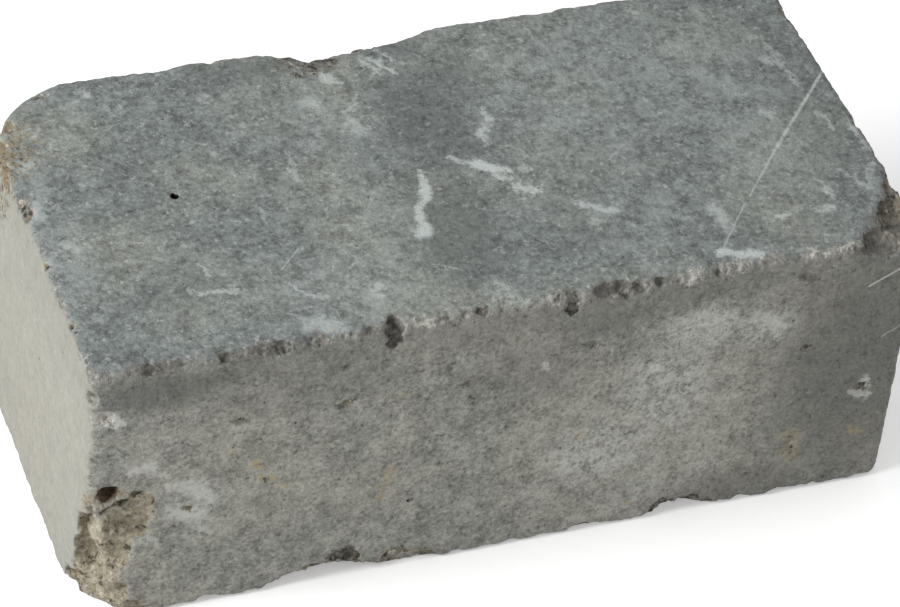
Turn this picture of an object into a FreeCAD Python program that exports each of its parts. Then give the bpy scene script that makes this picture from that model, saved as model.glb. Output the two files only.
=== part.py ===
"""Retaining wall block: one cast and tumbled concrete block for a low dry-laid wall.

The block is one solid. Its origin is at the middle of its base, with +X along its length,
+Y from its face to its back and +Z up. All sizes are in millimetres.
"""
import FreeCAD, Part
import Sketcher
import math
import os

NEAR = 0.001        # mm, how near an edge lies to a plane to count as on it
FRONT, BACK = -1, 1  # sides along Y
LEFT, RIGHT = -1, 1  # ends along X
BASE, TOP = 0, 1     # bed faces along Z

# ---------------------------------------------------------------- driving dimensions
SIZES = [
    ("block_length", 300.0, "end to end, along X"),
    ("block_depth", 150.0, "face to back, along Y"),
    ("block_height", 115.0, "base to top, along Z"),
    # upright corners, as tumbling wore them
    ("front_left_radius", 5.0, "upright corner"),
    ("front_right_radius", 6.0, "upright corner"),
    ("back_right_radius", 12.0, "upright corner"),
    ("back_left_radius", 36.0, "upright corner, the most worn of the four"),
    # edges round the two bed faces
    ("top_edge_radius", 3.0, "edge round the top"),
    ("base_edge_radius", 2.5, "edge round the base"),
    ("right_base_radius", 11.0, "edge where the right end meets the base"),
    # front left corner, broken off from the base up
    ("base_break_along_face", 18.0, "along X, at the base"),
    ("base_break_along_end", 20.0, "along Y, at the base"),
    ("base_break_rise", 70.0, "up the corner from the base"),
    # front right corner, broken off from the top down
    ("top_break_along_face", 30.0, "along X, at the top"),
    ("top_break_along_end", 36.0, "along Y, at the top"),
    ("top_break_drop", 9.0, "down the corner from the top"),
    # chips knocked out of the long edges
    ("back_chip_place", -15.0, "its middle along X"),
    ("back_chip_width", 74.0, "along the edge"),
    ("back_chip_reach", 8.0, "into the top and the back"),
    ("notch_place", -62.0, "its middle along X"),
    ("notch_width", 54.0, "along the edge"),
    ("notch_reach", 8.0, "into the face and the base"),
    ("small_chip_place", 71.0, "its middle along X"),
    ("small_chip_width", 24.0, "along the edge"),
    ("small_chip_reach", 6.5, "into the face and the base"),
    # a single air hole in the top
    ("air_hole_diameter", 3.2, "bore"),
    ("air_hole_drop", 8.0, "down from the top"),
    ("air_hole_from_left", 52.5, "its middle from the left end"),
    ("air_hole_from_front", 81.5, "its middle from the face"),
]

document = FreeCAD.newDocument("RetainingWallBlock")
sheet = document.addObject("Spreadsheet::Sheet", "Sizes")
for row, (name, value, meaning) in enumerate(SIZES, start=1):
    sheet.set(f"A{row}", name)
    sheet.set(f"B{row}", str(value))
    sheet.set(f"C{row}", meaning)
    sheet.setAlias(f"B{row}", name)
document.recompute()

block = document.addObject("PartDesign::Body", "wall_block")
block.Label = "wall_block"


# ---------------------------------------------------------------- helpers
def size(name):
    """A size from the sheet, as a plain number."""
    return float(sheet.get(name))


def sketch_on(role, name, height="0"):
    """A sketch on one of the block's own planes, lifted to a height given as an expression."""
    plane = next(plane for plane in block.Origin.OriginFeatures if plane.Role == role)
    sketch = block.newObject("Sketcher::SketchObject", name)
    sketch.AttachmentSupport = [(plane, "")]
    sketch.MapMode = "FlatFace"
    sketch.setExpression("AttachmentOffset.Base.z", height)
    return sketch


def bind(sketch, kind, *elements, to):
    """A dimension of a sketch, held to an expression on the size sheet."""
    number = sketch.addConstraint(Sketcher.Constraint(kind, *elements, 1.0))
    sketch.setExpression(f"Constraints[{number}]", to)


def bind_from_origin(sketch, kind, side, *point, to):
    """How far a point of a sketch lies from the origin, on its negative or positive side."""
    origin = (-1, 1)
    ends = origin + point if side > 0 else point + origin
    bind(sketch, kind, *ends, to=to)


def closed_outline(sketch, corners):
    """Lines from corner to corner, joined end to end, kept level or upright where they are so."""
    starts = [FreeCAD.Vector(x, y, 0) for x, y in corners]
    ends = starts[1:] + starts[:1]
    for index, (start, end) in enumerate(zip(starts, ends)):
        sketch.addGeometry(Part.LineSegment(start, end), False)
        if start.y == end.y:
            sketch.addConstraint(Sketcher.Constraint("Horizontal", index))
        if start.x == end.x:
            sketch.addConstraint(Sketcher.Constraint("Vertical", index))
    for index in range(len(starts)):
        following = (index + 1) % len(starts)
        sketch.addConstraint(Sketcher.Constraint("Coincident", index, 2, following, 1))


def edges_where(shape, **planes):
    """Names of the edges that lie wholly in every plane given, such as x=10 or z=0."""
    def lies_in(edge, axis, at):
        limits = edge.BoundBox
        ends = (getattr(limits, axis.upper() + "Min"), getattr(limits, axis.upper() + "Max"))
        return all(abs(end - at) < NEAR for end in ends)
    return [f"Edge{number}" for number, edge in enumerate(shape.Edges, start=1)
            if all(lies_in(edge, axis, at) for axis, at in planes.items())]


def round_edges(name, base, radius, **planes):
    """A fillet on the edges of a feature that lie in the planes given."""
    fillet = block.newObject("PartDesign::Fillet", name)
    fillet.Base = (base, edges_where(base.Shape, **planes))
    fillet.setExpression("Radius", "Sizes." + radius)
    document.recompute()
    return fillet


# ---------------------------------------------------------------- the cast block
half_length = size("block_length") / 2
half_depth = size("block_depth") / 2

plan = sketch_on("XY_Plane", "Plan")
closed_outline(plan, [(-half_length, -half_depth), (half_length, -half_depth),
                      (half_length, half_depth), (-half_length, half_depth)])
plan.addConstraint(Sketcher.Constraint("Symmetric", 0, 1, 2, 1, -1, 1))
bind(plan, "DistanceX", 0, 1, 0, 2, to="Sizes.block_length")
bind(plan, "DistanceY", 1, 1, 1, 2, to="Sizes.block_depth")

cast = block.newObject("PartDesign::Pad", "Cast")
cast.Profile = plan
cast.setExpression("Length", "Sizes.block_height")
document.recompute()

# ---------------------------------------------------------------- edges worn by tumbling
worn = cast
for corner, end, side in (("front_left", LEFT, FRONT), ("front_right", RIGHT, FRONT),
                          ("back_right", RIGHT, BACK), ("back_left", LEFT, BACK)):
    worn = round_edges(corner, worn, corner + "_radius", x=end * half_length, y=side * half_depth)
worn = round_edges("top_edge", worn, "top_edge_radius", z=size("block_height"))
worn = round_edges("base_edge", worn, "base_edge_radius", z=0)

# the right end rolls under to the base with a larger radius than the other base edges:
# what lies outside that arc is cut away from face to back
rolled = size("right_base_radius")
start = FreeCAD.Vector(half_length - rolled, 0, 0)
corner = FreeCAD.Vector(half_length, 0, 0)
end = FreeCAD.Vector(half_length, rolled, 0)
centre = FreeCAD.Vector(half_length - rolled, rolled, 0)
arc = Part.ArcOfCircle(Part.Circle(centre, FreeCAD.Vector(0, 0, 1), rolled), -math.pi / 2, 0)

under = sketch_on("XZ_Plane", "Under")
under.addGeometry([Part.LineSegment(start, corner), Part.LineSegment(corner, end), arc], False)
for rule in (("Horizontal", 0), ("Vertical", 1), ("PointOnObject", 0, 2, -1),
             ("Coincident", 0, 2, 1, 1), ("Coincident", 0, 1, 2, 1), ("Coincident", 1, 2, 2, 2),
             ("Vertical", 0, 1, 2, 3), ("Horizontal", 1, 2, 2, 3)):
    under.addConstraint(Sketcher.Constraint(*rule))
bind(under, "Radius", 2, to="Sizes.right_base_radius")
bind_from_origin(under, "DistanceX", RIGHT, 0, 2, to="Sizes.block_length / 2")

roll_under = block.newObject("PartDesign::Pocket", "RollUnder")
roll_under.Profile = under
roll_under.Type = "ThroughAll"
roll_under.SideType = "Symmetric"
document.recompute()


# ---------------------------------------------------------------- broken corners
def break_corner(name, end, bed, tip):
    """A flat break across a front corner, from a triangle on a bed face to a tip up or down it."""
    along_face = size(name + "_along_face")
    along_end = size(name + "_along_end")
    corner = (end * half_length, -half_depth)

    outline = sketch_on("XY_Plane", name + "_outline", bed)
    closed_outline(outline, [corner, (corner[0] - end * along_face, corner[1]),
                             (corner[0], corner[1] + along_end)])
    face_line = (0, 1, 0, 2) if end == LEFT else (0, 2, 0, 1)
    bind(outline, "DistanceX", *face_line, to=f"Sizes.{name}_along_face")
    bind(outline, "DistanceY", 2, 2, 2, 1, to=f"Sizes.{name}_along_end")
    bind_from_origin(outline, "DistanceX", end, 0, 1, to="Sizes.block_length / 2")
    bind_from_origin(outline, "DistanceY", FRONT, 0, 1, to="Sizes.block_depth / 2")

    point = sketch_on("XY_Plane", name + "_tip", tip)
    point.addGeometry(Part.Point(FreeCAD.Vector(*corner, 0)), False)
    bind_from_origin(point, "DistanceX", end, 0, 1, to="Sizes.block_length / 2")
    bind_from_origin(point, "DistanceY", FRONT, 0, 1, to="Sizes.block_depth / 2")

    cut = block.newObject("PartDesign::SubtractiveLoft", name)
    cut.Profile = outline
    cut.Sections = [point]
    cut.Ruled = True
    document.recompute()


break_corner("base_break", LEFT, "0", "Sizes.base_break_rise")
break_corner("top_break", RIGHT, "Sizes.block_height", "Sizes.block_height - Sizes.top_break_drop")


# ---------------------------------------------------------------- chipped edges
def chip_edge(name, side, bed):
    """A shell-shaped chip: a ball centred outside a long edge takes a shallow bite out of it.

    The ball passes through both ends of the chip on the edge, and reaches equally far into
    the two faces that meet there, which sets how far outside each face its centre lies.
    """
    width = f"Sizes.{name}_width"
    reach = f"Sizes.{name}_reach"
    outside = f"({width} ^ 2 / 4 - {reach} ^ 2) / (2 * {reach})"
    ball = block.newObject("PartDesign::SubtractiveSphere", name)
    ball.setExpression("Radius", f"sqrt(2 * ({outside}) ^ 2 + {width} ^ 2 / 4)")
    ball.setExpression("Placement.Base.x", f"Sizes.{name}_place")
    ball.setExpression("Placement.Base.y", f"{side} * (Sizes.block_depth / 2 + {outside})")
    above = f"Sizes.block_height + {outside}"
    ball.setExpression("Placement.Base.z", above if bed == TOP else f"-({outside})")
    document.recompute()


chip_edge("back_chip", BACK, TOP)
chip_edge("notch", FRONT, BASE)
chip_edge("small_chip", FRONT, BASE)

# ---------------------------------------------------------------- air hole in the top
hole_radius = size("air_hole_diameter") / 2
hole_middle = FreeCAD.Vector(size("air_hole_from_left") - half_length,
                             size("air_hole_from_front") - half_depth, 0)
mouth = sketch_on("XY_Plane", "Mouth", "Sizes.block_height")
mouth.addGeometry(Part.Circle(hole_middle, FreeCAD.Vector(0, 0, 1), hole_radius), False)
bind(mouth, "Diameter", 0, to="Sizes.air_hole_diameter")
bind(mouth, "DistanceX", 0, 3, -1, 1, to="Sizes.block_length / 2 - Sizes.air_hole_from_left")
bind(mouth, "DistanceY", -1, 1, 0, 3, to="Sizes.air_hole_from_front - Sizes.block_depth / 2")

air_hole = block.newObject("PartDesign::Pocket", "AirHole")
air_hole.Profile = mouth
air_hole.setExpression("Length", "Sizes.air_hole_drop")
document.recompute()

# ---------------------------------------------------------------- checks, then the file
solid = None
for feature in document.Objects:
    if {"Invalid", "Error"} & set(feature.State):
        raise RuntimeError(f"{feature.Label} could not be built")
    if feature.isDerivedFrom("PartDesign::Feature"):
        if solid and feature.Shape.Volume > solid.Volume - NEAR:
            raise RuntimeError(f"{feature.Label} takes nothing off the block")
        solid = feature.Shape

if block.Shape.isNull() or not block.Shape.isValid() or len(block.Shape.Solids) != 1:
    raise RuntimeError("the block is not one sound solid")

os.makedirs("parts", exist_ok=True)
block.Shape.exportStep(f"parts/{block.Label}.step")
limits = block.Shape.optimalBoundingBox(False)
print(f"{block.Label}: {limits.XLength:.1f} x {limits.YLength:.1f} x {limits.ZLength:.1f} mm,"
      f" {block.Shape.Volume / 1e6:.3f} litres")
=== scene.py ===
# %% [markdown]
# # A tumbled concrete wall block
# A small retaining wall is laid dry from blocks like this one. Stiff concrete is pressed in a
# steel mould, and the hardened block is then rolled in a drum with others, which rounds its
# edges and knocks chips out of them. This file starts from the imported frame, carves the worn
# block around it, and gives it a cast skin and a broken inside.

# %% Load the frame
import bpy
import bmesh
import math
import random
import numpy as np
from mathutils import Matrix, Vector


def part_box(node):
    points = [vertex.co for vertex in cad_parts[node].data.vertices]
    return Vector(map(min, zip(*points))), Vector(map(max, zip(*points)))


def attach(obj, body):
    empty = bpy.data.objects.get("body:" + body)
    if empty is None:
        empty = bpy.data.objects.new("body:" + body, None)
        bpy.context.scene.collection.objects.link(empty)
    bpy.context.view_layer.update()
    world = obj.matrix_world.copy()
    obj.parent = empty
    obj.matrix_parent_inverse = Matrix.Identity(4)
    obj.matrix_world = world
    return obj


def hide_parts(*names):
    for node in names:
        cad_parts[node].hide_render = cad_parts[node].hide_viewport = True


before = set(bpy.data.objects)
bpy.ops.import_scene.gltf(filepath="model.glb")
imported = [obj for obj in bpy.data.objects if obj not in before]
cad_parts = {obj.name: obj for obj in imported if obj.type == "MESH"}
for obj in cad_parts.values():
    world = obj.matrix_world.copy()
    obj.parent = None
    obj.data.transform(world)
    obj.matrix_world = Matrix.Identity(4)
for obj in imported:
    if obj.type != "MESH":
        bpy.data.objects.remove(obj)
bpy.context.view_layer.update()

NODE = "wall_block"
MM = 0.001
low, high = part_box(NODE)
centre = (low + high) / 2
extent = high - low
half_length, half_depth, height = extent.x / 2, extent.y / 2, extent.z
print(f"block {extent.x / MM:.0f} x {extent.y / MM:.0f} x {extent.z / MM:.0f} mm")

# %% [markdown]
# ## Camera
# The view looks down on the block from the left of its face with a long lens, so that the
# upright edges stay almost parallel. The camera is placed the way a photographer would say
# it: round the block, up, back, and a little tilt of the head.

# %% Place the camera
AROUND, UP, TILT = math.radians(-23.61), math.radians(41.58), math.radians(6.46)
DISTANCE = 1506.8 * MM
ASIDE, ABOVE = 9.6 * MM, 37.2 * MM      # how far the view's middle lies from the block's base
LENS = 165.1                            # mm on the default 36 mm sensor

back = Vector((math.sin(AROUND) * math.cos(UP), -math.cos(AROUND) * math.cos(UP), math.sin(UP)))
level = Vector((math.cos(AROUND), math.sin(AROUND), 0))
turn = Matrix((level, back.cross(level), back)).transposed() @ Matrix.Rotation(TILT, 3, "Z")
bpy.ops.object.camera_add()
camera = bpy.context.object
camera.data.lens = LENS
camera.matrix_world = Matrix.Translation(turn @ Vector((ASIDE, ABOVE, DISTANCE))) @ turn.to_4x4()
bpy.context.scene.camera = camera
print("camera stands at", [round(value, 3) for value in camera.location])

# %% [markdown]
# ## Light and floor
# A plain white sheet and a pale surround light the block from all sides. One broad lamp on
# the left end's side is a little stronger, so the pits and chips show their depth.

# %% Light the studio
def hex_colour(code):
    """An sRGB colour such as 8f8f8a, as the linear colour that Blender works in."""
    shares = [int(code[place:place + 2], 16) / 255 for place in (0, 2, 4)]
    linear = [share / 12.92 if share <= 0.04045 else ((share + 0.055) / 1.055) ** 2.4
              for share in shares]
    return (*linear, 1.0)


def add(tree, kind, links=None, **settings):
    """One node with its settings; links give an input by name or number a value or a socket."""
    node = tree.nodes.new(kind)
    for name, value in settings.items():
        setattr(node, name, value)
    for name, value in (links or {}).items():
        if isinstance(value, bpy.types.NodeSocket):
            tree.links.new(value, node.inputs[name])
        else:
            node.inputs[name].default_value = value
    return node


def seen_directly(tree):
    """1 for rays from the camera or off a mirror or through glass, 0 for rays that only light."""
    path = add(tree, "ShaderNodeLightPath")
    total = path.outputs["Is Camera Ray"]
    for name in ("Is Glossy Ray", "Is Transmission Ray"):
        total = add(tree, "ShaderNodeMath", {0: total, 1: path.outputs[name]}, operation="ADD",
                    use_clamp=True).outputs[0]
    return total


bpy.context.scene.view_settings.view_transform = "Standard"
world = bpy.data.worlds.new("pale_studio")
world.use_nodes = True
studio = world.node_tree
studio.nodes.clear()
bpy.context.scene.world = world
surround = add(studio, "ShaderNodeBackground", {"Color": hex_colour("ffffff"), "Strength": 0.6})
seen = add(studio, "ShaderNodeBackground", {"Color": hex_colour("ffffff"), "Strength": 1.0})
either = add(studio, "ShaderNodeMixShader", {0: seen_directly(studio), 1: surround.outputs[0],
                                             2: seen.outputs[0]})
add(studio, "ShaderNodeOutputWorld", {"Surface": either.outputs[0]})

LAMP_AWAY, LAMP_SIZE = 1.6, 0.5      # metres
LAMP_POWER = 18.0                    # watts
toward_lamp = Vector((-0.80, -0.10, 0.60)).normalized()
bpy.ops.object.light_add(type="AREA", location=centre + toward_lamp * LAMP_AWAY)
lamp = bpy.context.object
lamp.name = "broad_lamp"
lamp.data.size = LAMP_SIZE
lamp.data.energy = LAMP_POWER
lamp.rotation_euler = toward_lamp.to_track_quat("Z", "Y").to_euler()

FLOOR_SIZE = 12.0
FLOOR_LIFT = 0.26           # what the eye adds to the sheet; it lights nothing, and shadows stay
bpy.ops.mesh.primitive_plane_add(size=FLOOR_SIZE, location=(0, 0, low.z))
floor = bpy.context.object
floor.name = "white_sheet"
paper = bpy.data.materials.new("matt_white_paper")
paper.use_nodes = True
sheet = paper.node_tree
sheet.nodes.clear()
dull_white = add(sheet, "ShaderNodeBsdfDiffuse", {"Color": hex_colour("f6f6f6")})
lift = add(sheet, "ShaderNodeMath", {0: seen_directly(sheet), 1: FLOOR_LIFT}, operation="MULTIPLY")
glow = add(sheet, "ShaderNodeEmission", {"Color": hex_colour("ffffff"), "Strength": lift.outputs[0]})
lit_paper = add(sheet, "ShaderNodeAddShader", {0: dull_white.outputs[0], 1: glow.outputs[0]})
add(sheet, "ShaderNodeOutputMaterial", {"Surface": lit_paper.outputs[0]})
floor.data.materials.append(paper)
print("lamp", LAMP_POWER, "W, floor", FLOOR_SIZE, "m")

# %% [markdown]
# ## The rounded block
# Before the chips, the block is a box whose edges the drum has rounded. It could be drawn with
# a bevel modifier, but every upright corner is worn by a different amount, so each one is
# picked by its place and bevelled one by one in edit mode.

# %% Round the upright corners and the bed edges
CORNER_WEAR = {(-1, -1): 5 * MM, (1, -1): 6 * MM, (1, 1): 12 * MM, (-1, 1): 36 * MM}
TOP_WEAR, BASE_WEAR = 2.5 * MM, 2.5 * MM
SMALL_CORNER = 5 * MM       # a corner up to this radius is drawn with half as many steps
NEAR = 0.01 * MM            # what counts as the same place


def work_on(piece):
    """Select one piece and nothing else, so that the next operator acts on it alone."""
    bpy.ops.object.select_all(action="DESELECT")
    piece.select_set(True)
    bpy.context.view_layer.objects.active = piece


def pick_edges(piece, test):
    """In edit mode, select only the edges whose two ends both pass a test of their place."""
    mesh = bmesh.from_edit_mesh(piece.data)
    bpy.ops.mesh.select_all(action="DESELECT")
    picked = [edge for edge in mesh.edges if all(test(end.co) for end in edge.verts)]
    for edge in picked:
        edge.select_set(True)
    bmesh.update_edit_mesh(piece.data)
    return len(picked)


def start_piece(name):
    """Name the new primitive, put its place into its mesh and open it in edit mode."""
    piece = bpy.context.object
    piece.name = piece.data.name = name
    bpy.ops.object.transform_apply(location=True, rotation=True, scale=True)
    bpy.ops.object.mode_set(mode="EDIT")
    bpy.ops.mesh.select_mode(type="EDGE")
    return piece


bpy.ops.object.select_all(action="DESELECT")
bpy.ops.mesh.primitive_cube_add(size=1, location=centre, scale=extent)
block = start_piece("carved_block")
for (end, side), radius in CORNER_WEAR.items():
    x, y = end * half_length, side * half_depth
    pick_edges(block, lambda place: abs(place.x - x) < NEAR and abs(place.y - y) < NEAR)
    bpy.ops.mesh.bevel(offset=radius, segments=10 if radius > SMALL_CORNER else 5)
for level_z, radius in ((high.z, TOP_WEAR), (low.z, BASE_WEAR)):
    count = pick_edges(block, lambda place: abs(place.z - level_z) < NEAR)
    bpy.ops.mesh.bevel(offset=radius, segments=4)
    print(f"bed edge at {level_z / MM:.0f} mm: {count} edges rounded")
bpy.ops.object.mode_set(mode="OBJECT")
skin = block.copy()
skin.data = block.data.copy()
skin.name = "cast_skin"
bpy.context.collection.objects.link(skin)
print("rounded block has", len(block.data.polygons), "faces")

# %% [markdown]
# ## Broken corners
# Two corners were knocked off in one blow each, which leaves an almost flat break. A bisect
# with a filled cut makes exactly that: a plane through three points on the corner's edges.

# %% Break the two face corners
BASE_BREAK = (18 * MM, 20 * MM, 70 * MM)    # along the face, along the end, up from the base
TOP_BREAK = (30 * MM, 36 * MM, 9 * MM)      # along the face, along the end, down from the top


def break_corner(piece, corner, inward, reach):
    """Cut a corner off along the plane through a point on each of its three edges."""
    corner = Vector(corner)
    points = [corner + Vector([inward[axis] * reach[axis] if axis == along else 0
                               for axis in range(3)]) for along in range(3)]
    outward = (points[1] - points[0]).cross(points[2] - points[0]).normalized()
    if outward.dot(corner - points[0]) < 0:
        outward.negate()
    work_on(piece)
    bpy.ops.object.mode_set(mode="EDIT")
    bpy.ops.mesh.select_all(action="SELECT")
    bpy.ops.mesh.bisect(plane_co=points[0], plane_no=outward, use_fill=True, clear_outer=True)
    bpy.ops.object.mode_set(mode="OBJECT")
    return outward


base_facing = break_corner(block, (-half_length, -half_depth, low.z), (1, 1, 1), BASE_BREAK)
top_facing = break_corner(block, (half_length, -half_depth, high.z), (-1, 1, -1), TOP_BREAK)
for name, facing in (("base", base_facing), ("top", top_facing)):
    print(name, "break faces", [round(value, 2) for value in facing])

# %% [markdown]
# ## Chips
# Where blocks hit each other in the drum, shell-shaped flakes come off the edges, and the
# edge between them is crumbled. Each chip is the bite of an uneven pebble: a low icosphere
# whose points are moved at random, so the bite has flat facets like a real break. All the
# pebbles are joined and taken away from the block in one Boolean.

# %% Shape the pebbles
random.seed(41)             # the same chips on every run
PEBBLE_UNEVEN = 0.26        # share of the pebble's radius that its points move


def pebble(place, length, width, depth, turn=0.0, uneven=PEBBLE_UNEVEN, detail=2):
    """An uneven pebble with its middle at a place in mm and its whole sizes in mm."""
    bpy.ops.object.select_all(action="DESELECT")
    bpy.ops.mesh.primitive_ico_sphere_add(subdivisions=detail, radius=1)
    piece = bpy.context.object
    bpy.ops.object.mode_set(mode="EDIT")
    bpy.ops.transform.vertex_random(offset=uneven, uniform=0.6, seed=random.randrange(10000))
    bpy.ops.object.mode_set(mode="OBJECT")
    piece.scale = Vector((length, width, depth)) * MM / 2
    piece.rotation_euler = (0, 0, math.radians(turn))
    piece.location = Vector(place) * MM
    bpy.ops.object.transform_apply(location=True, rotation=True, scale=True)
    return piece


SIDE, TOP, REACH_X = half_depth / MM, height / MM, half_length / MM      # the box's sides in mm
# along the top edge of the face: middle along X, length, reach into top and face
TOP_FACE_CHIPS = [
    (-147, 6, 3.2), (-130, 6, 3.8), (-118, 7, 2.4), (-104, 6, 3.4), (-88, 12, 4.8), (-83, 5, 4.6),
    (-61, 6, 2.6), (-45, 8, 6.6), (-37, 14, 2.4), (-15, 6, 3.6), (-7, 6, 2.8), (19, 8, 4.6),
    (30, 9, 4.4), (37, 6, 5.2), (43, 8, 4.2), (50, 5, 3.2), (61, 8, 3.8), (72, 8, 2.6),
    (88, 11, 2.2), (103, 8, 2.5), (117, 11, 2.6), (127, 8, 5.0),
]
pebbles = [pebble((x, -SIDE, TOP), length, 2 * reach, 2 * reach)
           for x, length, reach in TOP_FACE_CHIPS]

# the edges crumble all along, each by its own share: start and end as sides of the box
CRUMBLE = 6.5               # mm from one crumb to the next
EDGES = [((-1, -1, 1), (1, -1, 1), 1.0), ((-1, -1, 0), (1, -1, 0), 1.0), ((-1, 1, 1), (1, 1, 1), 0.6),
         ((-1, 1, 0), (1, 1, 0), 0.9), ((-1, -1, 1), (-1, 1, 1), 1.0), ((-1, -1, 0), (-1, 1, 0), 1.0),
         ((1, -1, 1), (1, 1, 1), 0.8), ((1, -1, 0), (1, 1, 0), 0.9), ((-1, -1, 0), (-1, -1, 1), 0.8),
         ((1, -1, 0), (1, -1, 1), 0.9)]
for start, end, share in EDGES:
    start, end = [Vector((side_x * REACH_X, side_y * SIDE, up * TOP)) for side_x, side_y, up in (start, end)]
    run = end - start
    for step in range(round(run.length / CRUMBLE)):
        along = (step + random.random()) * CRUMBLE / run.length
        reach = share * random.uniform(1.3, 2.3) * random.choice((1, 1, 1, 1.6))
        length = reach * random.uniform(0.8, 2.4)
        sizes = [2 * reach] * 3
        sizes[max(range(3), key=lambda axis: abs(run[axis]))] = 2 * length
        pebbles.append(pebble(start + run * along, *sizes))
print(len(pebbles), "pebbles")

# %% Place the large bites and the holes
def shell_chip(x, width, reach, side, level_z):
    """The smooth bite of a large ball centred outside an edge, as in the frame's own chips."""
    outside = (width ** 2 / 4 - reach ** 2) / (2 * reach)
    radius = math.sqrt(2 * outside ** 2 + width ** 2 / 4)
    up = 1 if level_z else -1
    place = (x, side * (SIDE + outside), level_z + up * outside)
    return pebble(place, 2 * radius, 2 * radius, 2 * radius, uneven=0.0, detail=6)


shells = [
    shell_chip(-15, 74, 8, 1, TOP),          # back edge of the top
    shell_chip(-62, 54, 8, -1, 0),           # wide notch under the face
    shell_chip(71, 24, 6.5, -1, 0),          # small chip under the face
]
pebbles += [
    # rougher bites inside the chip in the back edge
    pebble((-28, SIDE, TOP), 22, 19, 16), pebble((-38, SIDE, TOP), 12, 12, 18),
    pebble((-18, SIDE, TOP - 2), 16, 16, 14), pebble((6, SIDE, TOP), 20, 10, 12),
    pebble((-83, SIDE, TOP), 22, 5, 8), pebble((60, SIDE, TOP), 16, 4, 6),
    # hollow at the top of the notch, and a ledge beside it
    pebble((-56, -SIDE, 9), 12, 12, 9), pebble((-66, -SIDE, 6), 14, 10, 6),
    pebble((-36, -SIDE, 3), 16, 6, 12), pebble((-28, -SIDE, 0), 14, 6, 10),
    # inside the small chip
    pebble((64, -SIDE, 4), 9, 9, 8), pebble((73, -SIDE, 4), 13, 8, 9), pebble((81, -SIDE, 1), 9, 6, 6),
    # the broken face corner: a deep hole, a slit rising from it, and the rough break below
    pebble((-142.5, -SIDE, 60.5), 8, 18, 9), pebble((-145, -SIDE, 51), 7, 12, 3),
    pebble((-141, -SIDE, 53), 7, 12, 3), pebble((-137, -SIDE, 55.5), 7, 10, 2.8),
    pebble((-132.5, -SIDE, 58.5), 6, 9, 2.6), pebble((-130, -SIDE, 52), 10, 5, 11),
    pebble((-137, -SIDE, 46), 24, 7, 16), pebble((-135, -SIDE, 43), 10, 12, 6),
    pebble((-133, -SIDE, 40), 12, 8, 5), pebble((-140, -SIDE, 31), 14, 8, 20),
    pebble((-146, -SIDE + 8, 24), 12, 14, 26), pebble((-148, -SIDE + 5, 42), 8, 12, 16),
    pebble((-138, -SIDE, 12), 10, 7, 12), pebble((-132, -SIDE, 4), 8, 6, 8),
    pebble((-149, -SIDE + 16, 6), 8, 14, 10),
    # crumbled top corner at the right of the face
    pebble((137, -SIDE + 4, TOP - 3), 22, 14, 9), pebble((143, -SIDE + 14, TOP - 3), 14, 18, 9),
    pebble((128, -SIDE, TOP), 14, 9, 9), pebble((147, -SIDE + 24, TOP), 8, 16, 8),
    # worn back left corner of the top, rough on the end's side
    pebble((-150, 34, TOP - 4), 4, 16, 12), pebble((-149, 46, TOP - 2), 5, 12, 12),
    pebble((-144, 56, TOP), 6, 8, 7), pebble((-128, 69, TOP), 10, 4, 4), pebble((-149, 14, TOP), 4, 10, 6),
    # left upright corner of the face, just under the top
    pebble((-146, -SIDE, 96), 11, 4, 8), pebble((-149, -SIDE + 2, 104), 6, 6, 7),
    # right end
    pebble((REACH_X, -43, TOP), 8, 12, 10), pebble((REACH_X, -31, TOP), 4, 8, 5),
    pebble((REACH_X, 2, TOP), 3, 12, 5),
]
# holes in the face: middle along X and Z, width, height, depth
FACE_PITS = [
    (18, 108, 6, 5, 3.5), (-45, 108, 7, 6, 4), (-59, 83.5, 8, 3, 1.6), (-62, 100, 2.5, 2.5, 1.5),
    (-98, 84, 6, 4, 1.0), (-112, 96, 3, 2, 1.0), (110, 71, 4, 3.5, 2.4), (51, 77, 4, 3, 1.6),
    (105, 105, 6, 5, 1.4), (28, 90, 9, 5, 1.2), (-17, 83, 3, 3, 1.2), (-33, 31, 3, 3, 1.2),
    (-114, 47, 4, 3, 2.0), (-127, 17, 1.6, 1.6, 1.2), (-43, 40, 3, 4, 1.0), (136, 46, 7, 7, 1.4),
    (47, 45, 3, 3, 1.2), (-87, 54, 5, 4, 1.0), (10, 86, 3, 3, 0.8), (110, 24, 10, 12, 0.8),
    (-15, 75, 2, 2, 1.0), (27, 48, 3, 2.5, 1.0), (-74, 70, 2, 2, 1.0), (85, 60, 2, 2, 1.0),
]
pebbles += [pebble((x, -SIDE, z), wide, 2 * deep, tall, uneven=0.3)
            for x, z, wide, tall, deep in FACE_PITS]
print(len(pebbles), "pebbles with the large ones, and", len(shells), "shells")


# %% Join the pebbles into one tool
def use_modifier(piece, kind, **settings):
    """Put a modifier on a piece, set it up and apply it."""
    work_on(piece)
    modifier = piece.modifiers.new(kind.lower(), kind)
    for name, value in settings.items():
        setattr(modifier, name, value)
    bpy.ops.object.modifier_apply(modifier=modifier.name)


bpy.ops.object.select_all(action="DESELECT")
for piece in pebbles:
    piece.select_set(True)
bpy.context.view_layer.objects.active = pebbles[0]
bpy.ops.object.join()
bites = bpy.context.object
PEBBLE_NET = 0.7 * MM
use_modifier(bites, "REMESH", mode="VOXEL", voxel_size=PEBBLE_NET)
print("pebbles merged:", len(bites.data.polygons), "faces")

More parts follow.
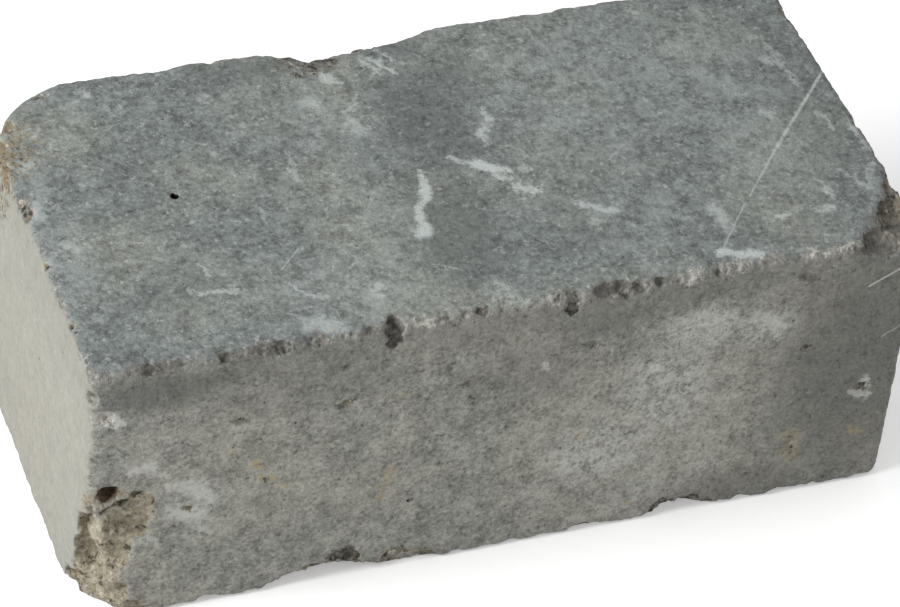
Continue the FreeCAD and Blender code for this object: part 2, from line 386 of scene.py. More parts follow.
# %% Make the drill for the air hole
# a bubble that rose to the top left one round, clean hole: across, deep, middle
AIR_HOLE, AIR_DROP, AIR_PLACE = 3.2 * MM, 8 * MM, (-97.5 * MM, 6.5 * MM)
bpy.ops.object.select_all(action="DESELECT")
bpy.ops.mesh.primitive_cylinder_add(radius=AIR_HOLE / 2, depth=2 * AIR_DROP,
                                    location=(*AIR_PLACE, high.z), vertices=24)
bpy.ops.object.transform_apply(location=True, rotation=True, scale=True)
drill = bpy.context.object
print("air hole", AIR_HOLE / MM, "mm across and", AIR_DROP / MM, "mm deep")

# %% Take the bites out of the block
for tool in (*shells, bites, drill):
    use_modifier(block, "BOOLEAN", object=tool, operation="DIFFERENCE", solver="MANIFOLD")
    bpy.data.objects.remove(tool)
BLOCK_NET = 0.8 * MM
use_modifier(block, "REMESH", mode="VOXEL", voxel_size=BLOCK_NET, use_smooth_shade=True)
print("carved and remeshed:", len(block.data.polygons), "faces")

# %% [markdown]
# ## Roughness that has depth
# The remesh gives an even net of small faces, fine enough to be pushed about. A broken surface
# is rough with sand and small stones, a cast one is nearly flat with a few open pores. To
# tell them apart, the net is measured against the whole rounded block from before the bites:
# what lies deeper than its skin is broken.

# %% Find the broken surface
def find_broken(piece):
    """A vertex group whose weight grows from 0 on the cast skin to 1 below it."""
    group = piece.vertex_groups.get("broken") or piece.vertex_groups.new(name="broken")
    group.add(range(len(piece.data.vertices)), 1.0, "REPLACE")
    use_modifier(piece, "VERTEX_WEIGHT_PROXIMITY", vertex_group="broken", target=skin,
                 proximity_mode="GEOMETRY", proximity_geometry={"FACE"},
                 min_dist=SKIN_DEEP, max_dist=BROKEN_DEEP)
    index = piece.vertex_groups["broken"].index
    weights = np.array([sum(entry.weight for entry in vertex.groups if entry.group == index)
                        for vertex in piece.data.vertices])
    print("share of the surface that is broken:", round(float((weights > 0.5).mean()), 3))
    return weights


def distance_to_edge(piece):
    """How far each point lies from the nearest edge of the plain box, in metres."""
    places = np.zeros(len(piece.data.vertices) * 3)
    piece.data.vertices.foreach_get("co", places)
    places = places.reshape(-1, 3)
    inside = np.stack([half_length - abs(places[:, 0]), half_depth - abs(places[:, 1]),
                       np.minimum(places[:, 2] - low.z, high.z - places[:, 2])], axis=1)
    nearest = np.sort(inside, axis=1)[:, :2]
    return np.hypot(nearest[:, 0], nearest[:, 1])


SKIN_DEEP, BROKEN_DEEP = 0.25 * MM, 1.2 * MM     # still skin above the first, broken below the second
EDGE_FADE = 6 * MM                               # how fast the wear falls off away from an edge
find_broken(block)
edge_group = block.vertex_groups.new(name="near_edge")
near_edge = np.clip(1.4 - distance_to_edge(block) / EDGE_FADE, 0, 1)
for index in np.flatnonzero(near_edge > 0):
    edge_group.add([int(index)], float(near_edge[index]), "REPLACE")
print("share of the surface near an edge:", round(float((near_edge > 0).mean()), 3))


# %% Push the net in and out
def roughen(piece, name, size, strength, group="", lowest=None, middle=0.5):
    """Displace a piece by a cloud pattern of a real size; lowest keeps only its deepest dips."""
    pattern = bpy.data.textures.new(name, "CLOUDS")
    pattern.noise_scale = size
    pattern.noise_depth = 3
    if lowest is not None:
        pattern.use_color_ramp = True
        dip, flat = pattern.color_ramp.elements
        dip.position = lowest
        dip.color = (0, 0, 0, 1)
        flat.position = lowest + 0.10
        flat.color = (1, 1, 1, 1)
    use_modifier(piece, "DISPLACE", texture=pattern, texture_coords="LOCAL", strength=strength,
                 mid_level=middle, vertex_group=group)


roughen(block, "uneven_casting", 30 * MM, 0.5 * MM)
roughen(block, "edge_wear", 9 * MM, 1.2 * MM, group="near_edge", middle=0.4)
roughen(block, "crumbled_edge", 2.2 * MM, 0.7 * MM, group="near_edge")
roughen(block, "stones_in_break", 4.6 * MM, 3.4 * MM, group="broken")
roughen(block, "sand_in_break", 1.6 * MM, 1.5 * MM, group="broken")
roughen(block, "open_pores", 1.6 * MM, 0.7 * MM, lowest=0.22, middle=1.0)
print("pushed by", [texture.name for texture in bpy.data.textures])

# %% Thin the net where it is flat
MOST_TRIANGLES = 190000
triangles = sum(len(face.vertices) - 2 for face in block.data.polygons)
if triangles > MOST_TRIANGLES:
    use_modifier(block, "DECIMATE", ratio=MOST_TRIANGLES / triangles)
print("triangles:", triangles, "thinned to", len(block.data.polygons))

# %% Keep the measures as attributes that the material can read
def store(piece, name, values):
    """A number on each point of a piece."""
    attribute = piece.data.attributes.new(name, "FLOAT", "POINT")
    attribute.data.foreach_set("value", np.asarray(values, dtype=np.float32))


store(block, "broken_share", find_broken(block))
store(block, "edge_distance", distance_to_edge(block) / MM)
block.vertex_groups.clear()
bpy.data.objects.remove(skin)
print("stored", [attribute.name for attribute in block.data.attributes])
# %% [markdown]
# ## The concrete
# Cast concrete shows a skin of grey cement with fine sand in it. Where the skin is gone, the
# sand and small stones show: dark basalt, tan and ochre sandstone, white quartz. One material
# holds both, and the broken share stored on the mesh chooses between them. Patterns read the
# place in millimetres, so each scale is one over a real size. Each side of the block has its
# own surface, and they are mixed as whole surfaces: where a share is 0 or 1 the renderer
# skips the other side's patterns, which keeps the picture quick.

# %% Set up the material and its place in millimetres
concrete = bpy.data.materials.new("tumbled_cast_concrete")
concrete.use_nodes = True
tree = concrete.node_tree
tree.nodes.clear()
PER_METRE = 1 / MM
coordinate = add(tree, "ShaderNodeTexCoord")
place = add(tree, "ShaderNodeVectorMath", {0: coordinate.outputs["Object"],
                                           "Scale": PER_METRE}, operation="SCALE").outputs[0]
axes = add(tree, "ShaderNodeSeparateXYZ", {0: place})
facing = add(tree, "ShaderNodeSeparateXYZ", {0: coordinate.outputs["Normal"]})
broken = add(tree, "ShaderNodeAttribute", attribute_name="broken_share").outputs["Fac"]
from_edge = add(tree, "ShaderNodeAttribute", attribute_name="edge_distance").outputs["Fac"]


def noise(size, detail=3.0, rough=0.6, output="Fac"):
    """A cloud pattern of a real size in millimetres, from about 0.2 to 0.8."""
    return add(tree, "ShaderNodeTexNoise", {"Vector": place, "Scale": 1 / size, "Detail": detail,
                                            "Roughness": rough}).outputs[output]


def ramp(value, low_end, high_end, low_value=0.0, high_value=1.0):
    """A value turned from one range to another, with soft ends."""
    return add(tree, "ShaderNodeMapRange", {0: value, 1: low_end, 2: high_end, 3: low_value,
                                            4: high_value}, interpolation_type="SMOOTHSTEP").outputs[0]


def maths(operation, *values):
    """One sum on plain numbers or sockets."""
    return add(tree, "ShaderNodeMath", dict(enumerate(values)), operation=operation).outputs[0]


def vector_maths(operation, first, second, output=0):
    """One sum on directions or places."""
    return add(tree, "ShaderNodeVectorMath", {0: first, 1: second}, operation=operation).outputs[output]


def blend(share, base, over, how="MIX"):
    """One colour laid over another by a share."""
    return add(tree, "ShaderNodeMix", {0: share, 6: base, 7: over}, data_type="RGBA",
               blend_type=how).outputs[2]


def paint(base, share, strength, code):
    """A colour laid over a base as far as a share says, and at most as strongly as given."""
    return blend(maths("MULTIPLY", share, strength), base, hex_colour(code))


print("material", concrete.name, "reads its place in units of", MM, "m")


# %% [markdown]
# ## The cast skin
# The side that faced up in the press is a cool grey, the face and the ends a warmer one, and
# the left end the palest, partly in its own colour and partly by painted light from the left.
# Cement skin is mottled at every size from a hand's width down to a grain of sand; two cloud
# patterns give that, and a third one cut off high and low gives the dark pinholes and pale
# sand grains.

# %% Mottle the skin
on_top = ramp(facing.outputs["Z"], 0.55, 0.85)
on_left = ramp(facing.outputs["X"], -0.55, -0.85)
on_face = ramp(facing.outputs["Y"], -0.55, -0.85)

CLOUD, MOTTLE, SAND, FLECK = 60, 7, 1.7, 3.4      # mm across one patch, blotch, grain, pale fleck
cloud = noise(CLOUD, 3, 0.55)
mottle = noise(MOTTLE, 6, 0.84)
sand = noise(SAND, 3, 0.75)
tone = maths("ADD", ramp(cloud, 0.3, 0.7, 0.90, 1.10), ramp(mottle, 0.28, 0.72, -0.42, 0.42))
tone = maths("ADD", tone, ramp(sand, 0.25, 0.75, -0.30, 0.30))
quiet_tone = maths("MULTIPLY_ADD", tone, 0.25, 0.75)
pinhole = ramp(sand, 0.34, 0.30)
grain = ramp(sand, 0.655, 0.72)
fleck = ramp(noise(FLECK, 3, 0.7), 0.60, 0.68)


def skin(code, warm, tone, dark, pale):
    """The cast skin in a grey and a warmer grey, with its mottle, pinholes and pale grains."""
    tint = add(tree, "ShaderNodeCombineXYZ", {0: tone, 1: tone, 2: tone}).outputs[0]
    colour = blend(ramp(cloud, 0.42, 0.62, 0.0, 0.5), hex_colour(code), hex_colour(warm))
    colour = blend(1.0, colour, tint, "MULTIPLY")
    colour = paint(colour, pinhole, dark, "2e2d2a")
    return paint(colour, maths("MAXIMUM", grain, fleck), pale, "b4b6b1")


top_skin = skin("7a807e", "83847c", tone, 0.55, 0.45)
face_skin = skin("93938c", "96948b", tone, 1.0, 0.4)
# the left end's paler grey is partly its own colour and partly painted light from the left
left_skin_with_painted_light = skin("9a9990", "9a988e", quiet_tone, 0.1, 0.1)
other_skin = skin("8a8983", "8c8a80", tone, 0.5, 0.3)
left_skin_with_painted_light = paint(left_skin_with_painted_light, ramp(axes.outputs["Z"], 78, 112), 0.16, "74746f")
print("four skins from", len(tree.nodes), "nodes")

# %% [markdown]
# ## Rubs and scratches
# Other blocks sliding over the skin leave pale rubs, and a sharp stone leaves a thin scratch.
# Each one is a short run on its face with a half width at each end, all in millimetres. The
# rub is strongest on its line and falls off across it; a cloud pattern frays its outline.

# %% Make one rub as a group of nodes
rub = bpy.data.node_groups.new("rub", "ShaderNodeTree")
for name, kind in (("Place", "Vector"), ("From", "Vector"), ("Run", "Vector"), ("Step", "Vector"),
                   ("Half width", "Float"), ("Widening", "Float")):
    rub.interface.new_socket(name, in_out="INPUT", socket_type="NodeSocket" + kind)
rub.interface.new_socket("Share", in_out="OUTPUT", socket_type="NodeSocketFloat")
given = add(rub, "NodeGroupInput").outputs
offset = add(rub, "ShaderNodeVectorMath", {0: given["Place"], 1: given["From"]},
             operation="SUBTRACT").outputs[0]
along = add(rub, "ShaderNodeVectorMath", {0: offset, 1: given["Step"]}, operation="DOT_PRODUCT")
along = add(rub, "ShaderNodeMath", {0: along.outputs["Value"], 1: 0.0}, operation="MAXIMUM")
along = add(rub, "ShaderNodeMath", {0: along.outputs[0], 1: 1.0}, operation="MINIMUM").outputs[0]
nearest = add(rub, "ShaderNodeVectorMath", {0: given["Run"], "Scale": along}, operation="SCALE")
across = add(rub, "ShaderNodeVectorMath", {0: offset, 1: nearest.outputs[0]}, operation="DISTANCE")
half = add(rub, "ShaderNodeMath", {0: along, 1: given["Widening"], 2: given["Half width"]},
           operation="MULTIPLY_ADD")
ratio = add(rub, "ShaderNodeMath", {0: across.outputs["Value"], 1: half.outputs[0]}, operation="DIVIDE")
RUB_END = 1.6               # the rub has gone at this many half widths from its line
fall = add(rub, "ShaderNodeMath", {0: RUB_END, 1: ratio.outputs[0]}, operation="SUBTRACT")
fall = add(rub, "ShaderNodeMath", {0: fall.outputs[0], 1: 1.0}, operation="MINIMUM")
add(rub, "NodeGroupOutput", {"Share": fall.outputs[0]})


def rubs(where, runs):
    """The strongest of many rubs: x, y of both ends, half width at both ends, strength."""
    total = 0.0
    for x0, y0, x1, y1, first, last, strength in runs:
        run = Vector((x1 - x0, y1 - y0, 0))
        one = add(tree, "ShaderNodeGroup", node_tree=rub)
        tree.links.new(where, one.inputs["Place"])
        one.inputs["From"].default_value = (x0, y0, 0)
        one.inputs["Run"].default_value = run
        one.inputs["Step"].default_value = run / run.length_squared
        one.inputs["Half width"].default_value = first
        one.inputs["Widening"].default_value = last - first
        total = maths("MAXIMUM", maths("MULTIPLY", one.outputs[0], strength), total)
    return total


def patches(where, spots):
    """Broad soft spots: x, y, reach along x, reach along y, strength."""
    total = 0.0
    for x, y, wide, tall, strength in spots:
        offset = vector_maths("SUBTRACT", where, (x, y, 0))
        share = vector_maths("MULTIPLY", offset, (1 / wide, 1 / tall, 0))
        reach = add(tree, "ShaderNodeVectorMath", {0: share}, operation="LENGTH").outputs["Value"]
        total = maths("MAXIMUM", total, ramp(reach, 1.15, 0.35, 0.0, strength))
    return total


print("a rub takes", len(rub.nodes), "nodes")


# %% Fray the places
FRAY = 9                    # mm, the full swing of the pattern that moves an outline
shift = vector_maths("SUBTRACT", noise(4.5, 4, 0.7, "Color"), (0.5, 0.5, 0.5))
frayed = add(tree, "ShaderNodeVectorMath", {0: shift, 1: (FRAY, FRAY, FRAY), 2: place},
             operation="MULTIPLY_ADD")
frayed = add(tree, "ShaderNodeSeparateXYZ", {0: frayed.outputs[0]})
x, y, z = axes.outputs
ragged_x, ragged_y, ragged_z = frayed.outputs
top_place = add(tree, "ShaderNodeCombineXYZ", {0: x, 1: y}).outputs[0]
top_frayed = add(tree, "ShaderNodeCombineXYZ", {0: ragged_x, 1: ragged_y}).outputs[0]
face_place = add(tree, "ShaderNodeCombineXYZ", {0: x, 1: z}).outputs[0]
face_frayed = add(tree, "ShaderNodeCombineXYZ", {0: ragged_x, 1: ragged_z}).outputs[0]
streaks = ramp(mottle, 0.40, 0.56, 0.15, 1.0)
rubbed_grain = ramp(mottle, 0.36, 0.52, 0.3, 1.1)

# %% Rub the top
TOP_RUBS = [
    (-11, -1, -13, -13, 0.7, 1.8, 0.9), (-13, -13, -18, -21, 1.9, 1.5, 0.9),
    (-18, -22, -21, -32, 1.4, 2.9, 0.9),
    (1, 3, 9, -2, 0.7, 1.6, 0.9), (9, -2, 18, -8, 2.0, 1.8, 1.0), (13, -9, 18, -13, 1.0, 0.8, 0.8),
    (24, -8, 26, -9, 1.4, 1.0, 0.6), (17, -17, 24, -20, 1.5, 1.2, 0.8), (24, -20, 28, -18, 0.6, 0.4, 0.6),
    (34, -28, 38, -31, 1.0, 1.4, 0.55), (38, -31, 46, -37, 1.5, 1.8, 0.7), (38, -41, 39, -42, 2.2, 1.8, 0.5),
    (22.5, 27, 21, 20, 0.5, 1.4, 0.6), (21, 19, 16, 12, 1.8, 1.8, 0.75),
    (75, -66, 88, -71, 1.6, 2.0, 0.9), (102, -53, 105, -53, 1.7, 1.3, 0.8),
    (117, -53.5, 121, -52.5, 1.5, 1.6, 0.75), (124, -43, 125, -48, 1.0, 1.4, 0.55),
    (82, -44, 82, -55, 3.0, 1.6, 0.5), (119, 1, 121, -2, 1.6, 1.4, 0.5),
    (134, 42, 135, 30, 0.8, 1.0, 0.45), (135, 30, 137, 12, 0.9, 0.6, 0.45),
    (131, 29, 132, 27, 1.8, 1.6, 0.45), (138, -3, 140, -14, 0.8, 0.8, 0.45),
    (147, -12, 148, -26, 1.0, 1.2, 0.6), (133, -35, 139, -47, 0.9, 0.9, 0.45),
    (139, -47, 146, -34, 0.9, 0.8, 0.4),
    (-12, 61, -8, 55, 1.2, 0.9, 0.7), (-9, 62, -2, 53, 1.0, 0.7, 0.7), (-5, 66, -1, 60, 1.2, 0.9, 0.6),
    (-27, 55, -25, 53, 2.3, 1.8, 0.7), (-20, 43, -26, 35, 0.7, 0.9, 0.55),
    (-27, 30, -25, 24, 2.6, 2.4, 0.45), (-38, 44, -35, 38, 2.4, 1.6, 0.4),
    (-53, 19, -54, 4, 0.8, 1.4, 0.45), (-78, 25, -77.5, 24, 1.4, 1.4, 0.4),
    (-73, 55, -72, 53, 2.0, 1.5, 0.45), (-114, 68, -112, 65, 1.8, 1.2, 0.6),
    (-107.5, 58, -107.5, 51, 0.8, 0.7, 0.4),
    (-145, 12, -145, 6, 2.2, 1.8, 0.4), (-141, 34, -145, 31, 1.6, 1.4, 0.4),
    (-140, -10, -136, -14, 2.0, 1.4, 0.4), (-45, -8, -45, -10, 1.6, 1.4, 0.35),
    (-72, 0, -72, -16, 0.5, 0.6, 0.35),
    (-103, -43.5, -92, -44.5, 0.8, 1.3, 0.7), (-106, -40, -105.5, -43, 0.6, 0.7, 0.6),
    (-99, -30, -98.5, -37, 0.6, 0.8, 0.5), (-45, -54, -46, -58, 1.6, 1.8, 0.6),
    (-74, -45, -70, -52, 0.5, 0.7, 0.45), (-70, -52, -64, -55, 1.0, 0.7, 0.4),
    (-70, -67, -64, -71, 3.4, 3.2, 0.5), (-74, -64, -74, -70, 1.0, 1.0, 0.4),
    (-20, -51, -16.5, -52, 0.7, 0.6, 0.6), (-6, -64, -3, -72, 3.2, 3.0, 0.5),
    (52, 66, 53, 60, 0.8, 0.7, 0.5), (93, 67, 94, 66, 1.4, 1.2, 0.5), (28, 56, 34, 60, 0.5, 0.5, 0.35),
]
TOP_SCRATCHES = [
    (151, 20, 116, -18, 0.45, 0.6, 0.75), (116, -18, 96, -41, 0.5, 0.3, 0.55),
    (93, -44, 76, -65, 0.25, 0.4, 0.5), (-74, -39, -65, -30, 0.3, 0.3, 0.5),
    (-62, -62, -62, -75, 0.3, 0.3, 0.4),
]
# broad marks: darker where water stood, paler where salts dried
TOP_STAINS = [(0, 25, 20, 34, 1.0), (-11, -34, 22, 38, 0.9), (-35, 67, 18, 8, 0.8), (2, 68, 12, 9, 0.7),
              (14, 46, 20, 14, 0.8), (-108, -40, 20, 14, 0.5), (134, 5, 16, 60, 0.5),
              (-55, 66, 24, 9, 0.6), (30, -45, 20, 14, 0.4)]
TOP_BLOOMS = [(-38, 30, 14, 24, 0.8), (-52, -50, 30, 22, 0.8), (-30, -20, 16, 26, 0.5),
              (62, 30, 62, 50, 0.7), (55, -42, 26, 20, 0.8), (108, 10, 30, 70, 0.7),
              (-145, 0, 14, 62, 0.9), (140, -58, 14, 14, 0.9), (-112, 60, 24, 10, 0.5)]
top_stain = maths("MULTIPLY", patches(top_frayed, TOP_STAINS), ramp(mottle, 0.3, 0.6, 0.5, 1.0))
top_bloom = maths("MULTIPLY", patches(top_frayed, TOP_BLOOMS), streaks)
top_rub = maths("MULTIPLY", maths("MAXIMUM", rubs(top_frayed, TOP_RUBS), rubs(top_place, TOP_SCRATCHES)),
                rubbed_grain)
top_skin = paint(top_skin, top_stain, 0.42, "4a4d4c")
top_skin = paint(top_skin, top_bloom, 0.36, "a5acab")
top_skin = paint(top_skin, top_rub, 0.92, "bbc1be")
print("top:", len(TOP_RUBS), "rubs,", len(TOP_SCRATCHES), "scratches,",
      len(TOP_STAINS) + len(TOP_BLOOMS), "broad marks")

# %% Mark the face
FACE_RUBS = [
    (-134, 69, -128, 70, 1.6, 2.4, 0.75), (-128, 69, -123, 65, 1.6, 1.0, 0.6),
    (-121, 60, -112, 57, 1.6, 3.2, 0.7), (-112, 56, -107, 50, 3.0, 2.6, 0.8),
    (-117, 46, -111, 44, 3.0, 3.4, 0.8), (-112, 42, -106, 34, 2.4, 1.2, 0.5),
    (-126, 36, -124, 31, 1.6, 1.0, 0.4),
    (-148, 96, -142, 95, 1.6, 2.6, 1.0), (-141, 93, -138, 92, 2.2, 1.2, 0.9),
    (136, 49, 138, 46, 1.8, 1.4, 0.8), (131, 45, 137, 42, 1.0, 1.6, 0.7), (52, 75, 53, 74, 1.5, 1.7, 0.9),
    (64, 95, 74, 90, 3.0, 5.0, 0.4), (88, 90, 101, 82, 2.0, 1.4, 0.5), (10, 86, 11, 83, 0.9, 1.2, 0.6),
]
FACE_SCRATCHES = [(130, 95.5, 141, 101.5, 0.4, 0.4, 0.75), (139, 70, 146, 74, 0.3, 0.3, 0.45)]
# salts that dried out on the face, and darker damp-looking bands under the top edge
FACE_BLOOMS = [(36, 38, 26, 17, 1.0), (58, 62, 22, 26, 0.9), (70, 90, 20, 13, 1.0), (92, 84, 16, 10, 0.9),
               (76, 26, 9, 12, 0.4), (14, 22, 12, 9, 0.4), (52, 16, 22, 10, 0.4), (-112, 50, 14, 14, 0.5)]
FACE_STAINS = [(0, 113, 240, 18, 0.55), (-125, 104, 32, 11, 1.0), (-98, 107, 22, 9, 0.7),
               (-64, 104, 14, 9, 0.7), (-72, 96, 46, 18, 0.4), (30, 101, 26, 10, 0.8),
               (5, 84, 30, 18, 0.55), (132, 60, 44, 80, 1.0), (95, 8, 40, 14, 0.8)]
# sand lenses and single stones that show through: x, z of both ends, half widths, strength
FACE_STONES = [
    (-92, 63, -90, 61, 1.2, 1.4, 0.9), (-88, 56, -85, 54, 1.4, 1.2, 0.8), (-83, 50, -80, 50, 0.8, 0.8, 0.6),
    (-100, 71, -99, 70, 0.8, 0.7, 0.7), (-42, 47, -45, 36, 1.2, 0.8, 0.6), (-40, 83, -39, 83, 0.8, 0.8, 0.6),
    (110, 28, 112, 18, 3.0, 2.4, 0.4), (134, 26, 137, 24, 2.0, 1.6, 0.5), (49, 10, 51, 10, 0.8, 0.8, 0.6),
    (-40, 6, -24, 3, 2.0, 1.6, 0.8), (60, 3, 84, 3, 1.2, 1.4, 0.6), (27, 48, 28, 47, 0.8, 0.8, 0.5),
]
# painted shade: each pit and chip cut in the face is painted dark: x, z of both ends, half widths, strength
SHADED_FACE_HOLES = [
    (-63, 83, -56, 84, 0.7, 0.8, 0.8), (-62.5, 100, -61.5, 100, 0.9, 0.9, 0.9),
    (-100, 85, -96, 83, 1.2, 0.9, 0.5), (108.5, 71, 111.5, 71.5, 1.2, 1.0, 1.0),
    (49, 77, 51, 78, 0.7, 0.6, 0.8), (103, 106, 107, 103, 1.4, 1.2, 0.7),
    (17, 109, 19, 107, 1.6, 1.4, 1.0), (23, 91, 32, 90, 0.8, 0.8, 0.6),
    (-18, 83, -17, 82, 0.8, 0.8, 0.8), (-16, 75, -15, 75, 0.7, 0.7, 0.8),
    (-34, 31, -33, 30, 0.8, 0.7, 0.7), (46, 45, 48, 45, 0.7, 0.7, 0.7),
    (-128, 17, -127, 17, 0.6, 0.6, 0.8), (-115, 48, -113, 46, 0.8, 0.6, 0.8),
    (-60, 11, -54, 12, 1.8, 1.6, 1.0), (62, 5, 67, 5, 1.4, 1.2, 0.9), (-144, 98, -141, 92, 0.5, 0.4, 0.8),
]
drift = ramp(noise(5.0, 5, 0.82), 0.44, 0.56, 0.05, 1.0)
bloom = maths("MULTIPLY", patches(face_frayed, FACE_BLOOMS), drift)
bloom = maths("MULTIPLY", bloom, ramp(sand, 0.36, 0.58, 0.45, 1.0))
stain = maths("MULTIPLY", patches(face_frayed, FACE_STAINS), ramp(mottle, 0.3, 0.6, 0.6, 1.0))
worn_grain = ramp(mottle, 0.34, 0.50, 0.3, 1.0)
face_rub = maths("MAXIMUM", maths("MULTIPLY", rubs(face_frayed, FACE_RUBS), worn_grain),
                 rubs(face_place, FACE_SCRATCHES))
face_skin = paint(face_skin, stain, 0.56, "4a4a48")
face_skin = paint(face_skin, bloom, 0.88, "c3c4bf")
face_skin = paint(face_skin, face_rub, 0.9, "cbcbc5")
face_skin = paint(face_skin, rubs(face_frayed, FACE_STONES), ramp(sand, 0.38, 0.5, 0.2, 0.85), "ad9a70")
face_skin = paint(face_skin, rubs(face_frayed, SHADED_FACE_HOLES), 0.8, "33312c")
print("face:", len(FACE_RUBS), "rubs,", len(FACE_STONES), "stones,", len(SHADED_FACE_HOLES), "holes")

# %% [markdown]
# ## The broken inside
# A break runs round the sand grains and small stones, so they stand in it like nuts in a
# cut cake, with dark cracks between. A cell pattern gives each grain its own kind; its cells
# are shifted a little by a cloud pattern so none of them is a neat polygon. Iron in the sand
# makes the breaks at the left corners tan, and the deep hole there is painted a dark brown.

# %% Fill the break with sand and stones
GRAIN = 1.7                 # mm, one grain of coarse sand
# where each kind of grain starts, as a share of all grains, and its colour
GRAINS = [(0.0, "45423d"), (0.16, "726e66"), (0.36, "8e8a80"), (0.60, "9c9683"), (0.74, "877a64"),
          (0.81, "c3c0b6"), (0.91, "55514a")]
shifted = vector_maths("ADD", place, noise(2.0, 2, 0.6, "Color"))
stones = add(tree, "ShaderNodeTexVoronoi", {"Vector": shifted, "Scale": 1 / GRAIN})
kinds = add(tree, "ShaderNodeSeparateColor", {0: stones.outputs["Color"]})
kind = add(tree, "ShaderNodeValToRGB", {0: kinds.outputs["Red"]})
kind.color_ramp.interpolation = "CONSTANT"
for position, code in GRAINS[1:]:
    kind.color_ramp.elements.new(position)
for element, (position, code) in zip(kind.color_ramp.elements, GRAINS):
    element.position = position
    element.color = hex_colour(code)
inside = blend(ramp(stones.outputs["Distance"], 0.30, 0.60), kind.outputs["Color"], hex_colour("87837a"))


def near(middle, reach):
    """How near a place is to a middle, both in mm: 1 at the middle, 0 beyond the reach."""
    return ramp(vector_maths("DISTANCE", place, middle, "Value"), reach, 0.45 * reach)


# tints of single breaks: middle, reach, strength, colour
BREAK_TINTS = [
    ((-146, -72, 30), 58, 0.62, "ada38b"), ((-150, 46, 110), 34, 0.6, "8a7a5c"),
    ((145, -70, 112), 24, 0.35, "827560"), ((-28, 74, 112), 24, 0.62, "47443f"),
]
for middle, reach, strength, code in BREAK_TINTS:
    inside = paint(inside, near(middle, reach), strength, code)
lumps = noise(4.2, 4, 0.75)
inside = paint(inside, ramp(lumps, 0.55, 0.64), 0.55, "c4c1b6")
inside = paint(inside, ramp(lumps, 0.47, 0.36), 0.78, "2f2b25")

# %% Tint the break along the face
# places along the face's edges where the break is pale with lime and painted highlight, or dark with shadow
# and dirt
PALE_BREAKS_AND_HIGHLIGHTS = [(-36, 116, 8, 6, 0.8), (5, 116, 8, 6, 0.7), (62, 114, 6, 6, 0.8), (115, 116, 18, 5, 0.8),
               (-90, 116, 4, 5, 0.7), (-145, 96, 8, 6, 0.9), (78, 116, 8, 5, 0.6), (-146, 50, 5, 9, 0.5)]
DARK_BREAKS = [(-45, 109, 6, 6, 0.9), (18, 108, 5, 5, 0.9), (36, 112, 11, 6, 0.6), (-84, 112, 6, 6, 0.7),
               (-129, 113, 5, 5, 0.8), (-104, 113, 5, 5, 0.7), (127, 111, 7, 6, 0.6), (-15, 113, 4, 5, 0.7),
               (50, 112, 5, 5, 0.5), (-58, 10, 8, 6, 0.7), (66, 4, 8, 6, 0.7), (-138, 52, 10, 3, 0.6)]
by_face = ramp(y, -52, -64)
by_top = maths("MULTIPLY", by_face, ramp(z, 92, 104, 0.0, 0.55))
inside = blend(by_top, inside, hex_colour("858682"))
pale_break_and_highlight = maths("MULTIPLY", patches(face_place, PALE_BREAKS_AND_HIGHLIGHTS), ramp(lumps, 0.35, 0.55, 0.25, 0.75))
dark_break = maths("MULTIPLY", patches(face_place, DARK_BREAKS), ramp(lumps, 0.62, 0.45, 0.2, 0.85))
# pale lime and partly painted highlight, where the edge turns toward the light
inside = paint(inside, pale_break_and_highlight, by_face, "d0cec6")
inside = paint(inside, dark_break, by_face, "302d28")
inside = paint(inside, near((-142, -70, 61), 8.5), 0.85, "64503f")     # the deep hole is brown
shade = ramp(mottle, 0.3, 0.7, 0.75, 1.25)
grey = add(tree, "ShaderNodeCombineXYZ", {0: shade, 1: shade, 2: shade}).outputs[0]
inside = blend(1.0, inside, grey, "MULTIPLY")
print("break:", len(GRAINS), "kinds of grain", GRAIN, "mm across,", len(BREAK_TINTS), "tinted breaks")

# %% [markdown]
# ## Skin over inside
# The skin ends in a ragged line, and along the sharp edges it has crumbled in places even
# where no chip came off. The top edge of the face took most of the knocks.

# %% Choose between skin and inside
CRUMBLE_REACH = 6.5         # mm from an edge
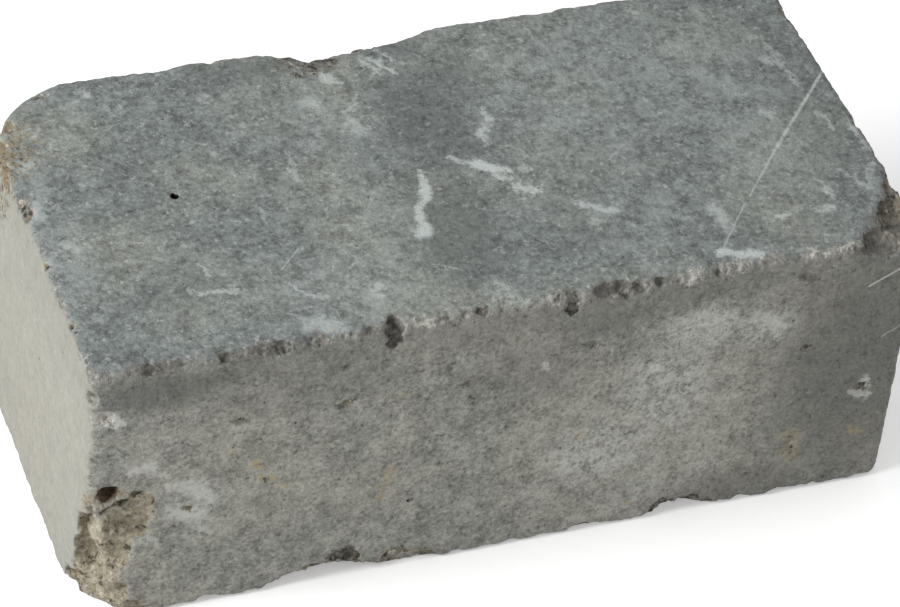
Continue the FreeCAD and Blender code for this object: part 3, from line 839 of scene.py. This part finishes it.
# more of the skin is gone round these: middle, reach, share
BARE_PLACES = [((-30, 69, 114), 17, 0.55), ((-151, 44, 106), 26, 0.42), ((-143, -76, 55), 13, 0.5)]
knocked = maths("MULTIPLY", ramp(y, -60, -70), ramp(z, 98, 106))
patchy = ramp(noise(13, 3, 0.6), 0.40, 0.62)
crumbled = maths("MULTIPLY", ramp(from_edge, CRUMBLE_REACH, 0.0),
                 maths("MULTIPLY_ADD", knocked, 0.45, 0.15))
crumbled = maths("MULTIPLY", crumbled, maths("MULTIPLY_ADD", patchy, 1.2, 0.35))
for middle, reach, share in BARE_PLACES:
    crumbled = maths("ADD", crumbled, maths("MULTIPLY", near(middle, reach), share))
gone = maths("ADD", maths("ADD", broken, crumbled), ramp(noise(2.2, 4, 0.75), 0.3, 0.7, -0.45, 0.45))
gone = ramp(gone, 0.34, 0.58)

# painted shade: the one air hole is painted black from its rim down, for the deep shade inside it
air_hole = vector_maths("DISTANCE", top_place, (*(value / MM for value in AIR_PLACE), 0), "Value")
inside = paint(inside, ramp(air_hole, 3.0, 2.2), ramp(z, 100, 104), "080808")
top_skin = paint(top_skin, ramp(air_hole, 1.7, 1.5), 1.0, "080808")
print("skin gives way to the inside within", CRUMBLE_REACH, "mm of the edges")

# %% Finish: dull, with the grain in low relief
def dull(colour, height, depth):
    """A dull mineral surface: it scatters nearly all its light, and fine relief breaks the rest."""
    bump = add(tree, "ShaderNodeBump", {"Height": height, "Distance": depth * MM, "Strength": 0.9})
    return add(tree, "ShaderNodeBsdfPrincipled", {"Base Color": colour, "Roughness": 0.92,
                                                  "Specular IOR Level": 0.3,
                                                  "Normal": bump.outputs[0]}).outputs[0]


def choose(share, first, second):
    """One whole surface or another by a share."""
    return add(tree, "ShaderNodeMixShader", {0: share, 1: first, 2: second}).outputs[0]


fine = noise(1.5, 3, 0.75)      # sand grains under the skin, 1.5 mm across
surface = choose(on_face, dull(other_skin, fine, 0.5), dull(face_skin, fine, 1.2))
surface = choose(on_left, surface, dull(left_skin_with_painted_light, fine, 0.25))
surface = choose(on_top, surface, dull(top_skin, fine, 0.7))
surface = choose(gone, surface, dull(inside, maths("SUBTRACT", fine, stones.outputs["Distance"]), 1.0))
add(tree, "ShaderNodeOutputMaterial", {"Surface": surface})
block.data.materials.clear()
block.data.materials.append(concrete)
print(concrete.name, "has", len(tree.nodes), "nodes")


# %% [markdown]
# ## Hand over
# The carved block takes the place of the plain one in the frame. It is on the frame's only
# body, because nothing in a block moves.

# %% Hand over
block.name = "tumbled_block"
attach(block, "root")
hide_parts(NODE)
